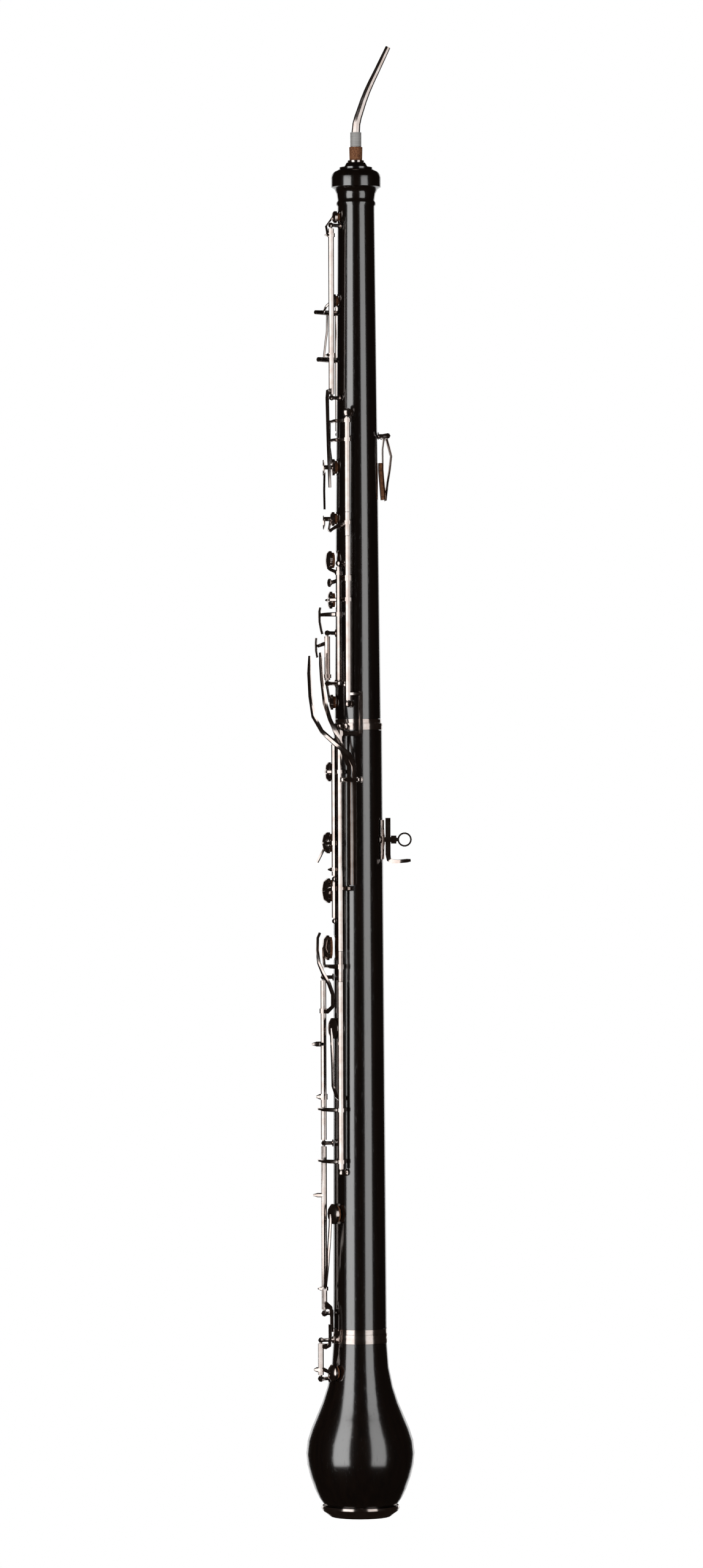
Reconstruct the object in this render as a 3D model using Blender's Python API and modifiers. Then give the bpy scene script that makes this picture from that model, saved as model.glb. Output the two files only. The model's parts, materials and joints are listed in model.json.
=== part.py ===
"""English horn: three wooden joints, their rings, the bocal, the keywork and the thumb rest.

All sizes are in millimetres. The origin lies on the bore axis at the bell's rim, +Z runs up the
bore, -X is the front where the tone holes are, and -Y is the player's left hand side. An angle
round the body starts at the front and grows towards the player's left.
"""
import bpy
import bmesh
from math import cos, degrees, hypot, pi, radians, sin
from mathutils import Matrix, Vector

MM = 0.001
GAP = 0.3
WELD = 0.003

# Joints along the bore
BELL_LENGTH = 109.0
LOWER_LENGTH = 363.6
UPPER_LENGTH = 334.1
LOWER_BASE = BELL_LENGTH
MIDDLE = LOWER_BASE + LOWER_LENGTH
TOP = MIDDLE + UPPER_LENGTH

# Outside of the wood
UPPER_TOP_R = 11.0
UPPER_FOOT_R = 13.75
LOWER_TOP_R = 14.4
LOWER_FOOT_R = 16.0
NECK_R = 16.05
BELLY_R = 32.3
BELLY_Z = 37.6
MOUTH_NECK_R = 21.7
RIM_HEIGHT = 6.6
RIM_R = 23.4
RIM_FOOT_R = 17.8
MOUTH_R = 14.6
BELL_WALL = 5.0

# Finial at the top of the upper joint
FINIAL_R = 14.8
FINIAL_FLANGE_R = 9.9
FINIAL_TOP_R = 5.7
FINIAL_LENGTH = 26.1

# Bore, sockets and tenons
BORE_TOP_R = 3.3
BORE_MIDDLE_R = 5.6
BORE_FOOT_R = 8.6
UPPER_TENON_R = 9.9
UPPER_TENON_LENGTH = 22.0
LOWER_TENON_R = 11.3
LOWER_TENON_LENGTH = 20.0
CORK_DEPTH = 1.0
TENON_FLANGE = 2.5

# Metal rings
RING_WALL = 1.1
RING_PROUD = 0.4
UPPER_RING_HEIGHT = 2.4
SOCKET_RING_HEIGHT = 3.9
SOCKET_BEAD_R = 14.8
FOOT_RING_HEIGHT = 3.1
BELL_RING_HEIGHT = 5.3

# Bocal
RECEIVER_R = 4.1
RECEIVER_WALL = 0.5
RECEIVER_DEPTH = 23.0
BOCAL_FOOT_R = 2.6
BOCAL_TIP_R = 1.5
BOCAL_WALL = 0.5
BOCAL_CORK_R = 3.75
BOCAL_CORK_TOP = 9.6
BOCAL_BAND_HEIGHT = 8.5
BOCAL_REACH = 19.4
BOCAL_RISE = 69.0

# Keywork
TUBE_R = 1.7
TUBE_BORE_R = 1.25
STEEL_R = 0.9
COLLAR_R = 2.3
COLLAR_HEIGHT = 2.2
POST_FLANGE_R = 2.2
POST_WAIST_R = 1.1
ARM_WIDTH = 2.4
ARM_THICK = 1.3
SEAT_DEPTH = 0.8
PAD_THICK = 2.4
PAD_RECESS = 0.8
CUP_WALL = 0.5
SPRING_R = 0.3

BELL_SIDES = 24
WOOD_SIDES = 20
BOCAL_SIDES = 16
ROUND_SIDES = 8
STEEL_SIDES = 6
PAD_SIDES = 10


# Measures on the body

def bezier(ends, handles, steps):
    """Points from ends[0] to ends[1], pulled by the two handles, without the first point."""
    points = []
    for step in range(1, steps + 1):
        t = step / steps
        weights = ((1 - t) ** 3, 3 * (1 - t) ** 2 * t, 3 * (1 - t) * t * t, t ** 3)
        four = (ends[0], handles[0], handles[1], ends[1])
        points.append(tuple(sum(w * p[k] for w, p in zip(weights, four)) for k in (0, 1)))
    return points


def bell_outside():
    """Outer profile of the bell from the neck down to the rim, as (radius, height)."""
    neck = (NECK_R, BELL_LENGTH - BELL_RING_HEIGHT - GAP)
    belly = (BELLY_R, BELLY_Z)
    foot = (MOUTH_NECK_R, RIM_HEIGHT + GAP)
    flare = (neck[1] - BELLY_Z) * 0.57
    drop = (neck[1] - BELLY_Z) * 0.29
    points = [neck]
    points += bezier((neck, belly), ((NECK_R + 0.5, neck[1] - flare), (BELLY_R, BELLY_Z + drop)), 7)
    under = (MOUTH_NECK_R + 4.8, foot[1] + 5.1)
    points += bezier((belly, foot), ((BELLY_R, BELLY_Z - 10.6), under), 5)
    return points


def wood_radius(z):
    """Outer radius of the wood at a height."""
    if z >= MIDDLE:
        share = (z - MIDDLE) / (UPPER_LENGTH - FINIAL_LENGTH)
        return UPPER_FOOT_R + (UPPER_TOP_R - UPPER_FOOT_R) * share
    if z >= MIDDLE - SOCKET_RING_HEIGHT:
        return SOCKET_BEAD_R
    if z >= LOWER_BASE:
        share = (z - LOWER_BASE) / LOWER_LENGTH
        return LOWER_FOOT_R + (LOWER_TOP_R - LOWER_FOOT_R) * share
    profile = bell_outside()
    for (r0, z0), (r1, z1) in zip(profile, profile[1:]):
        if z1 <= z <= z0:
            return r0 + (r1 - r0) * (z0 - z) / (z0 - z1)
    return NECK_R + RING_PROUD


def outward(angle):
    return Vector((-cos(radians(angle)), -sin(radians(angle)), 0.0))


def at(angle, radius, z):
    return outward(angle) * radius + Vector((0.0, 0.0, z))


# Meshes and objects

def fresh_collection(name):
    collection = bpy.data.collections.new(name)
    bpy.context.scene.collection.children.link(collection)
    return collection


for old in list(bpy.data.objects):
    bpy.data.objects.remove(old)
PARTS = fresh_collection("english_horn")
CUTTERS = fresh_collection("cutters")


def material(name, colour, roughness, metallic=0.0):
    made = bpy.data.materials.new(name)
    made.use_nodes = True
    shader = made.node_tree.nodes["Principled BSDF"]
    shader.inputs["Base Color"].default_value = (*colour, 1.0)
    shader.inputs["Roughness"].default_value = roughness
    shader.inputs["Metallic"].default_value = metallic
    return made


WOOD = material("grenadilla", (0.018, 0.014, 0.012), 0.35)
NICKEL = material("nickel", (0.78, 0.76, 0.72), 0.18, 1.0)
CORK = material("cork", (0.55, 0.30, 0.15), 0.85)
SLEEVE = material("white_sleeve", (0.85, 0.85, 0.83), 0.5)


def add_object(name, mesh, collection):
    made = bpy.data.objects.new(name, mesh)
    collection.objects.link(made)
    return made


def from_bmesh(shape):
    """A working body in the cutters' collection, from a mesh built in millimetres."""
    bmesh.ops.recalc_face_normals(shape, faces=shape.faces)
    mesh = bpy.data.meshes.new("body")
    shape.to_mesh(mesh)
    shape.free()
    mesh.transform(Matrix.Scale(MM, 4))
    made = add_object("body", mesh, CUTTERS)
    made.hide_render = True
    made.display_type = 'WIRE'
    return made


def evaluated_mesh(made):
    bpy.context.view_layer.update()
    graph = bpy.context.evaluated_depsgraph_get()
    return bpy.data.meshes.new_from_object(made.evaluated_get(graph))


def combine(base, others, operation):
    """Join to or cut from the base body each of the others, which are used up."""
    for other in others:
        change = base.modifiers.new(operation.lower(), 'BOOLEAN')
        change.operation = operation
        change.object = other
    mesh = evaluated_mesh(base)
    base.modifiers.clear()
    shape = bmesh.new()
    shape.from_mesh(mesh)
    bmesh.ops.remove_doubles(shape, verts=shape.verts, dist=WELD * MM)
    bmesh.ops.dissolve_degenerate(shape, edges=shape.edges, dist=WELD * MM)
    shape.to_mesh(mesh)
    shape.free()
    base.data = mesh
    for other in others:
        bpy.data.objects.remove(other)
    return base


def rod(start, end, radius, end_radius=None, sides=ROUND_SIDES):
    """A round bar, or a cone with a second radius, between two points."""
    line = end - start
    turn = line.to_track_quat('Z', 'Y').to_matrix().to_4x4()
    place = Matrix.Translation((start + end) / 2) @ turn
    shape = bmesh.new()
    bmesh.ops.create_cone(shape, cap_ends=True, segments=sides, radius1=radius,
                          radius2=radius if end_radius is None else end_radius,
                          depth=line.length, matrix=place)
    return from_bmesh(shape)


def upright(place, low, high, radius, sides=ROUND_SIDES):
    """A round bar parallel to the bore, at the x and y of a point."""
    shape = bmesh.new()
    middle = Matrix.Translation((place.x, place.y, (low + high) / 2))
    bmesh.ops.create_cone(shape, cap_ends=True, segments=sides, radius1=radius, radius2=radius,
                          depth=high - low, matrix=middle)
    return from_bmesh(shape)


def turned(profile, sides, place=None, closed=False):
    """A profile of (radius, height) turned about its local Z, listed down its outer side."""
    mesh = bpy.data.meshes.new("profile")
    edges = [(k, k + 1) for k in range(len(profile) - 1)]
    if closed:
        edges.append((len(profile) - 1, 0))
    mesh.from_pydata([(r * MM, 0.0, z * MM) for r, z in profile], edges, [])
    made = add_object("body", mesh, CUTTERS)
    made.hide_render = True
    made.display_type = 'WIRE'
    screw = made.modifiers.new("turn", 'SCREW')
    screw.steps = sides
    screw.render_steps = sides
    screw.use_merge_vertices = True
    screw.merge_threshold = 0.00001
    solid = evaluated_mesh(made)
    made.modifiers.clear()
    if place is not None:
        solid.transform(Matrix.Scale(MM, 4) @ place @ Matrix.Scale(1 / MM, 4))
    made.data = solid
    return made


def strap(stations, square=False):
    """A flat bar lofted through stations of (point, width, thickness) or with a face normal.

    The thickness lies along the normal, which is the direction away from the bore unless given.
    """
    points = [Vector(station[0]) for station in stations]
    if square:
        outline = [(1, 1), (-1, 1), (-1, -1), (1, -1)]
    else:
        outline = [(1, 0), (0.55, 1), (-0.55, 1), (-1, 0), (-0.55, -1), (0.55, -1)]
    shape = bmesh.new()
    rings = []
    for k, station in enumerate(stations):
        along = points[min(k + 1, len(points) - 1)] - points[max(k - 1, 0)]
        along.normalize()
        normal = Vector(station[3]) if len(station) > 3 else Vector((points[k].x, points[k].y, 0.0))
        normal = (normal - along * normal.dot(along)).normalized()
        side = along.cross(normal)
        wide, thick = station[1] / 2, station[2] / 2
        rings.append([shape.verts.new(points[k] + side * (wide * u) + normal * (thick * v))
                      for u, v in outline])
    count = len(outline)
    for one, two in zip(rings, rings[1:]):
        for k in range(count):
            shape.faces.new((one[k], one[(k + 1) % count], two[(k + 1) % count], two[k]))
    shape.faces.new(rings[0])
    shape.faces.new(rings[-1])
    return from_bmesh(shape)


def sweep(start, end, width, thick, bulge=0.0, steps=5):
    """A strap round the body between two (angle, radius, height) places, bowed outward."""
    stations = []
    for step in range(steps):
        t = step / (steps - 1)
        angle, radius, z = (a + (b - a) * t for a, b in zip(start, end))
        widen = width + (width * 0.7 - width) * t
        stations.append((at(angle, radius + bulge * sin(pi * t), z), widen, thick))
    return strap(stations)


def run(places, width, thick, end_width=None):
    """A strap through (angle, radius, height) places, its width changing evenly."""
    last = len(places) - 1
    final = width if end_width is None else end_width
    return strap([(at(*place), width + (final - width) * k / last, thick)
                  for k, place in enumerate(places)])


def finish(name, made, look, origin=None, parent=None):
    """Name a body, give it its material and origin, and put it with the parts."""
    CUTTERS.objects.unlink(made)
    PARTS.objects.link(made)
    made.name = name
    made.data.name = name
    made.hide_render = False
    made.display_type = 'TEXTURED'
    made.data.materials.clear()
    made.data.materials.append(look)
    made.data.shade_smooth()
    made.data.set_sharp_from_angle(angle=radians(35))
    if origin is not None:
        made.data.transform(Matrix.Translation(-origin * MM))
        if parent is None:
            made.location = origin * MM
    made.parent = parent
    return made


# Keywork

class Axle:
    """A steel rod parallel to the bore, held by posts that stand on the wood."""

    def __init__(self, angle, stand_off, foot_z):
        self.angle = angle
        self.radius = wood_radius(foot_z) + stand_off

    def point(self, z):
        return at(self.angle, self.radius, z)


class Cup:
    """A pad cup that faces the body at an angle and a height."""

    def __init__(self, angle, z, pad_r, height, hole_r):
        self.angle = angle
        self.z = z
        self.pad_r = pad_r
        self.radius = pad_r + GAP + CUP_WALL
        self.height = height
        self.hole_r = hole_r
        self.seat = wood_radius(z) - SEAT_DEPTH

    def place(self):
        turn = outward(self.angle).to_track_quat('Z', 'Y').to_matrix().to_4x4()
        return Matrix.Translation(at(self.angle, self.seat, self.z)) @ turn

    def back(self, sink=0.5):
        return (self.angle, self.seat + self.height - sink, self.z)

    def shell(self):
        rim = GAP + PAD_THICK - PAD_RECESS
        floor = GAP + PAD_THICK + GAP
        top = self.height
        dome = max(top - floor - 0.4, 0.6)
        profile = [(0.0, top), (self.radius * 0.72, top - dome * 0.3), (self.radius, top - dome),
                   (self.radius, rim), (self.pad_r + GAP, rim), (self.pad_r + GAP, floor),
                   (0.0, floor)]
        return turned(profile, PAD_SIDES, self.place())

    def pad(self):
        face = GAP
        profile = [(0.0, face + PAD_THICK), (self.pad_r, face + PAD_THICK),
                   (self.pad_r - 0.25, face), (0.0, face)]
        return turned(profile, PAD_SIDES, self.place())

    def hole(self):
        """Cutter for the flat seat and the tone hole below it."""
        wide = self.radius + 0.1
        profile = [(0.0, 5.0), (wide, 5.0), (wide, 0.0), (self.hole_r, 0.0),
                   (self.hole_r, -self.seat), (0.0, -self.seat)]
        return turned(profile, PAD_SIDES, self.place())


HOLES = {"upper": [], "lower": [], "bell": []}


def post(angle, head_radius, z, ball_r):
    """A turned post: flange on the wood, waist and a ball head at the given radius."""
    foot = max(wood_radius(z + POST_FLANGE_R * k / 2) for k in range(-2, 3)) + GAP
    rise = head_radius - foot
    neck = rise - ball_r * 0.95
    profile = [(0.0, rise + ball_r), (ball_r * 0.78, rise + ball_r * 0.62),
               (ball_r, rise - ball_r * 0.1), (POST_WAIST_R, neck), (POST_WAIST_R, 0.9),
               (POST_FLANGE_R, 0.5), (POST_FLANGE_R, 0.0), (0.0, 0.0)]
    turn = outward(angle).to_track_quat('Z', 'Y').to_matrix().to_4x4()
    return turned(profile, ROUND_SIDES, Matrix.Translation(at(angle, foot, z)) @ turn)


def axle_frame(axle, posts):
    """The posts of an axle, as (height, ball radius), and the steel that joins them."""
    heights = [z for z, ball_r in posts]
    steel = upright(axle.point(0.0), min(heights), max(heights), STEEL_R, STEEL_SIDES)
    heads = [post(axle.angle, axle.radius, z, ball_r) for z, ball_r in posts]
    return combine(steel, heads, 'UNION')


def make_frame(name, axle, posts):
    return finish(name, axle_frame(axle, posts), NICKEL)


def make_key(name, axle, low, high, bodies, cups=(), lift=0.0, section=None):
    """Fuse a key on its tube, bore the tube, fit the pads, and stand it open by the lift."""
    tube = upright(axle.point(0.0), low, high, TUBE_R)
    shells = [cup.shell() for cup, pad_name in cups]
    tube = combine(tube, bodies + shells, 'UNION')
    tube = combine(tube, [upright(axle.point(0.0), low - 1.0, high + 1.0, TUBE_BORE_R)],
                   'DIFFERENCE')
    pivot = axle.point((low + high) / 2)
    key = finish(name, tube, NICKEL, pivot)
    for cup, pad_name in cups:
        finish(pad_name, cup.pad(), CORK, pivot, key)
        HOLES[section].append(cup)
    if lift:
        cup = cups[0][0]
        reach = at(*cup.back()) - axle.point(cup.z)
        turn = lift / hypot(reach.x, reach.y)
        key.rotation_euler.z = turn if cup.angle < axle.angle else -turn
    return key


def collar(axle, z, height=COLLAR_HEIGHT):
    return upright(axle.point(0.0), z - height / 2, z + height / 2, COLLAR_R)


def spur(axle, z, reach, height=COLLAR_HEIGHT):
    """A pointed stub that stands out from a tube to the front."""
    start = axle.point(z)
    tip = start + outward(axle.angle * 0.5) * reach
    return strap([(start, height, 3.4), (start.lerp(tip, 0.6), height, 3.0),
                  (tip, height * 0.35, 0.8)])


def dish(angle, radius, z, size, thick=1.4):
    """A finger touch: a shallow round dish that faces away from the body."""
    turn = outward(angle).to_track_quat('Z', 'Y').to_matrix().to_4x4()
    profile = [(0.0, thick * 0.7), (size * 0.95, thick), (size, thick * 0.6), (size * 0.6, 0.0),
               (0.0, 0.0)]
    return turned(profile, PAD_SIDES, Matrix.Translation(at(angle, radius, z)) @ turn)


def stem(angle, low_r, high_r, z, radius=1.3):
    return rod(at(angle, low_r, z), at(angle, high_r, z), radius, sides=8)


# Heights on the upper joint are taken from the middle, on the lower joint from either end.
OCTAVE_AXLE = Axle(34.0, 6.0, MIDDLE + 193.5)
VENT_AXLE = Axle(-50.0, 5.2, MIDDLE + 173.0)
STACK_AXLE = Axle(71.7, 4.8, MIDDLE + 11.3)
THIRD_AXLE = Axle(53.3, 4.9, MIDDLE + 23.7)
SHARP_AXLE = Axle(20.0, 5.7, MIDDLE + 23.7)
LINK_AXLE = Axle(58.4, 5.0, LOWER_BASE + 96.6)
FRONT_AXLE = Axle(44.8, 5.1, MIDDLE - 117.6)
FOOT_AXLE = Axle(9.6, 5.5, LOWER_BASE + 12.2)
BELL_AXLE = Axle(17.0, 6.0, LOWER_BASE - 26.4)

OCTAVE_LOW = MIDDLE + 193.5
OCTAVE_HIGH = MIDDLE + 296.1
VENT_LOW = MIDDLE + 173.0
VENT_HIGH = MIDDLE + 251.0
STACK_LOW = MIDDLE + 11.3
STACK_HIGH = MIDDLE + 184.4
THIRD_LOW = MIDDLE + 23.7
THIRD_HIGH = MIDDLE + 94.9
SHARP_HIGH = MIDDLE + 53.7
LINK_LOW = LOWER_BASE + 96.6
LINK_HIGH = MIDDLE - 2.0
FRONT_LOW = MIDDLE - 117.6
FRONT_MID = MIDDLE - 92.6
FRONT_HIGH = MIDDLE - 10.6
FOOT_LOW = LOWER_BASE + 12.2
FOOT_MID = LOWER_BASE + 113.6
FOOT_HIGH = LOWER_BASE + 212.4
BELL_POST_LOW = LOWER_BASE - 26.4
BELL_POST_HIGH = LOWER_BASE - 3.5
BRIDGE_ANGLE = 95.0
BRIDGE_R = 17.9
BRIDGE_THICK = 1.3
SMALL_BALL = 1.7
BALL = 2.0
LARGE_BALL = 2.8


def side_octave():
    axle = OCTAVE_AXLE
    make_frame("octave_posts", axle, [(OCTAVE_LOW, SMALL_BALL), (OCTAVE_HIGH, SMALL_BALL)])
    cup = Cup(14.0, MIDDLE + 301.6, 2.8, 4.6, 1.2)
    vent_z = MIDDLE + 290.2
    touch_top = OCTAVE_LOW + SMALL_BALL + 3.0
    bodies = [collar(axle, vent_z), spur(axle, vent_z, 3.8),
              run([(34.0, axle.radius, vent_z), (25.0, axle.radius + 0.8, vent_z + 1.0),
                   (20.0, axle.radius + 1.0, vent_z + 5.6), (cup.back(0.6))], 2.2, 1.1, 1.8),
              collar(axle, MIDDLE + 218.7, 2.8), spur(axle, MIDDLE + 218.7, 4.0),
              run([(34.0, axle.radius, touch_top), (36.0, axle.radius + 3.2, touch_top - 0.6),
                   (36.5, axle.radius + 3.8, touch_top - 5.0),
                   (37.5, axle.radius + 3.4, MIDDLE + 165.0),
                   (38.5, axle.radius + 2.6, MIDDLE + 140.0)], 3.6, 1.6, 1.6)]
    make_key("side_octave_key", axle, OCTAVE_LOW + SMALL_BALL + GAP,
             OCTAVE_HIGH - SMALL_BALL - GAP, bodies, [(cup, "side_octave_pad")], 0.0, "upper")


def octave_vent():
    axle = VENT_AXLE
    make_frame("octave_vent_posts", axle, [(VENT_LOW, SMALL_BALL), (VENT_HIGH, SMALL_BALL)])
    cup = Cup(8.0, MIDDLE + 251.8, 3.2, 4.4, 1.3)
    bar_z = MIDDLE + 245.4
    low_bar_z = MIDDLE + 217.3
    bodies = [rod(axle.point(bar_z), at(-6.0, 24.8, bar_z), 1.7, 1.2),
              run([(-20.0, 20.6, bar_z), (-4.0, 19.4, bar_z + 1.0), (4.0, 17.8, bar_z + 3.4),
                   cup.back(0.5)], 2.2, 1.2, 1.8),
              rod(axle.point(low_bar_z), at(-9.0, 23.4, low_bar_z), 1.7, 1.4),
              run([(-18.8, 20.7, low_bar_z), (-20.0, 20.0, low_bar_z + 8.0),
                   (-22.0, 19.0, low_bar_z + 17.0), (-26.0, 19.4, bar_z)], 1.6, 1.0)]
    make_key("octave_vent_key", axle, VENT_LOW + SMALL_BALL + GAP,
             VENT_HIGH - SMALL_BALL - GAP, bodies, [(cup, "octave_vent_pad")], 0.0, "upper")


def upper_stack():
    axle = STACK_AXLE
    make_frame("upper_stack_posts", axle, [(STACK_LOW, BALL), (STACK_HIGH, LARGE_BALL)])
    first_end = MIDDLE + 125.2
    second_end = MIDDLE + 111.0

    first = Cup(6.0, MIDDLE + 152.6, 4.2, 3.9, 2.6)
    touch_r = 19.0
    upper_arm = MIDDLE + 179.6
    lower_arm = MIDDLE + 168.3
    rib_r = 16.6
    bodies = [collar(axle, upper_arm), collar(axle, lower_arm),
              sweep((axle.angle, axle.radius, upper_arm), (10.0, rib_r, upper_arm), 2.4, 1.3),
              sweep((axle.angle, axle.radius, lower_arm), (10.0, rib_r, lower_arm), 2.4, 1.3),
              run([(10.0, rib_r, upper_arm + 1.0), (9.0, rib_r, lower_arm - 4.0),
                   (7.0, first.seat + first.height - 0.3, first.z + 2.0)], 2.6, 1.4),
              stem(4.0, first.seat + first.height - 0.6, touch_r + 0.6, first.z),
              dish(0.0, touch_r, first.z - 0.3, 5.1),
              run([(0.0, touch_r + 0.4, first.z - 3.0), (0.0, touch_r + 0.6, first.z - 14.0),
                   (0.0, touch_r + 0.4, first.z - 25.0)], 3.4, 1.3, 2.6)]
    make_key("first_plate", axle, first_end + GAP / 2, STACK_HIGH - LARGE_BALL - GAP, bodies,
             [(first, "first_pad")], 0.0, "upper")

    second = Cup(6.0, MIDDLE + 121.8, 3.5, 4.6, 2.4)
    hook_z = MIDDLE + 119.0
    bodies = [collar(axle, hook_z),
              sweep((axle.angle, axle.radius, hook_z), (18.0, 16.9, hook_z - 4.6), 2.6, 1.4),
              run([(22.0, 17.0, hook_z - 4.2), (10.0, 17.2, hook_z - 4.0),
                   second.back(0.5)], 2.4, 1.4),
              stem(4.0, second.seat + second.height - 0.6, touch_r + 0.6, second.z),
              dish(0.0, touch_r, second.z - 2.1, 4.4)]
    make_key("second_plate", axle, second_end + GAP / 2, first_end - GAP / 2, bodies,
             [(second, "second_pad")], 0.0, "upper")

    link = Cup(4.0, MIDDLE + 73.4, 4.5, 4.5, 2.8)
    lug_z = MIDDLE + 86.0
    under_r = wood_radius(lug_z) + 1.9
    bridge_z = STACK_LOW + BALL + 4.0
    bar_r = BRIDGE_R + BRIDGE_THICK + GAP
    bodies = [collar(axle, lug_z, 3.2),
              run([(axle.angle, axle.radius, lug_z), (64.0, under_r + 1.2, lug_z),
                   (54.0, under_r, lug_z), (34.0, under_r + 0.3, lug_z - 1.6),
                   (20.0, under_r + 1.2, lug_z - 2.4)], 2.4, 1.1),
              dish(20.0, under_r + 0.8, lug_z - 2.4, 2.6, 1.6),
              run([(axle.angle, axle.radius, link.z), (64.0, under_r + 1.2, link.z),
                   (54.0, under_r, link.z), (42.0, under_r + 0.8, link.z),
                   (28.0, link.seat + link.height + 0.7, link.z),
                   (16.0, link.seat + link.height + 0.3, link.z), link.back(0.3)], 2.4, 1.1),
              collar(axle, link.z),
              rod(at(4.0, link.seat + link.height - 0.3, link.z),
                  at(4.0, link.seat + link.height + 1.5, link.z), 1.1, 0.3, 8),
              sweep((axle.angle, axle.radius, bridge_z), (BRIDGE_ANGLE, bar_r, bridge_z), 3.0, 1.6),
              run([(BRIDGE_ANGLE, bar_r, bridge_z + 1.4), (BRIDGE_ANGLE, bar_r, bridge_z - 12.0),
                   (BRIDGE_ANGLE, bar_r, MIDDLE - 6.2)], 2.2, BRIDGE_THICK)]
    make_key("upper_link_key", axle, STACK_LOW + BALL + GAP, second_end - GAP / 2, bodies,
             [(link, "upper_link_pad")], 1.3, "upper")


def side_pair():
    """The third plate and the G sharp key turn on two short axles side by side."""
    axle = THIRD_AXLE
    frame = axle_frame(axle, [(THIRD_LOW, SMALL_BALL), (THIRD_HIGH, BALL)])
    beside = axle_frame(SHARP_AXLE, [(THIRD_LOW, SMALL_BALL), (SHARP_HIGH, SMALL_BALL)])
    link = rod(THIRD_AXLE.point(THIRD_LOW), SHARP_AXLE.point(THIRD_LOW), 1.0)
    finish("side_posts", combine(frame, [link, beside], 'UNION'), NICKEL)
    third = Cup(4.0, MIDDLE + 97.1, 5.0, 5.1, 3.0)
    arm_z = MIDDLE + 89.1
    touch_arm = MIDDLE + 64.6
    touch_r = 20.4
    bodies = [collar(axle, arm_z),
              sweep((axle.angle, axle.radius, arm_z), (12.0, third.seat + 4.2, arm_z + 3.6), 2.6, 1.5),
              collar(axle, touch_arm, 2.6),
              sweep((axle.angle, axle.radius, touch_arm), (2.0, touch_r, touch_arm), 2.8, 1.4, 0.8),
              run([(0.0, touch_r, touch_arm + 4.4), (0.0, touch_r + 0.5, touch_arm + 2.0),
                   (0.0, touch_r + 0.4, touch_arm - 4.0), (0.0, touch_r - 0.5, touch_arm - 9.0),
                   (0.0, touch_r - 1.2, touch_arm - 11.4)], 5.4, 1.4, 4.4)]
    make_key("third_plate", axle, THIRD_LOW + SMALL_BALL + GAP, THIRD_HIGH - BALL - GAP, bodies,
             [(third, "third_pad")], 1.9, "upper")

    axle = SHARP_AXLE
    cup = Cup(2.0, MIDDLE + 12.6, 3.9, 4.4, 2.6)
    arm_z = THIRD_LOW + SMALL_BALL + 2.6
    spoon_z = MIDDLE + 45.0
    bodies = [collar(axle, arm_z),
              run([(axle.angle, axle.radius, arm_z), (8.0, axle.radius - 0.4, arm_z),
                   (3.0, axle.radius - 0.6, arm_z - 4.0), (cup.back(0.5))], 2.8, 1.5, 2.4),
              sweep((axle.angle, axle.radius, spoon_z + 3.0), (10.0, 24.0, spoon_z + 1.0), 3.0, 1.6),
              run([(8.0, 24.9, spoon_z + 5.8), (8.0, 25.1, spoon_z + 3.0), (8.0, 25.0, spoon_z - 2.0),
                   (9.0, 24.4, spoon_z - 5.6)], 6.6, 1.3, 5.0)]
    make_key("g_sharp_key", axle, THIRD_LOW + SMALL_BALL + GAP, SHARP_HIGH - SMALL_BALL - GAP,
             bodies, [(cup, "g_sharp_pad")], 0.0, "upper")


def thumb_octave():
    """A crosswise axle on the back carries the thumb touch and its cork."""
    angle = 196.0
    centre_r = 17.3
    z = MIDDLE + 171.2
    half = 6.6
    radial = outward(angle)
    along = Vector((0.0, 0.0, 1.0)).cross(radial)
    centre = radial * centre_r + Vector((0.0, 0.0, z))
    frame = rod(centre - along * half, centre + along * half, STEEL_R)
    heads = []
    for end in (-half, half):
        head = centre + along * end
        spread = degrees(Vector((head.x, head.y)).angle_signed(Vector((radial.x, radial.y))))
        heads.append(post(angle + spread, hypot(head.x, head.y), z, SMALL_BALL))
    finish("thumb_octave_posts", combine(frame, heads, 'UNION'), NICKEL)

    barrel = rod(centre - along * (half - SMALL_BALL - GAP), centre + along * (half - SMALL_BALL - GAP),
                 TUBE_R)
    top_r = wood_radius(z - 20.0) + 3.2
    tip_z = z - 38.6
    tip_r = wood_radius(tip_z) + 4.3
    leaf = run([(angle - 2.0, centre_r - 0.6, z), (angle - 4.0, top_r, z - 8.0),
                (angle - 6.0, top_r, z - 20.0), (angle - 8.0, tip_r, tip_z)], 5.0, 0.9)
    spoon = run([(angle - 2.0, centre_r + 0.5, z), (angle - 4.0, centre_r + 2.0, z - 6.0),
                 (angle - 6.0, centre_r + 3.4, z - 12.0), (angle - 7.0, centre_r + 2.4, z - 20.0),
                 (angle - 8.0, centre_r + 1.0, z - 28.0), (angle - 8.0, tip_r + 0.3, tip_z + 0.3)],
                5.0, 1.3, 4.4)
    key = combine(barrel, [leaf, spoon], 'UNION')
    bore = rod(centre - along * half, centre + along * half, TUBE_BORE_R)
    key = combine(key, [bore], 'DIFFERENCE')
    key = finish("thumb_octave_key", key, NICKEL, centre)
    cork_high = z - 16.0
    cork = strap([(at(angle - 6.0, top_r - 0.45 - GAP - 0.85, cork_high), 4.0, 1.7),
                  (at(angle - 6.0, top_r - 0.45 - GAP - 0.85, z - 20.5), 4.4, 1.7),
                  (at(angle - 8.0, tip_r - 0.45 - GAP - 0.85, tip_z + 0.6), 4.0, 1.7)], True)
    finish("thumb_octave_cork", cork, CORK, centre, key)


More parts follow.
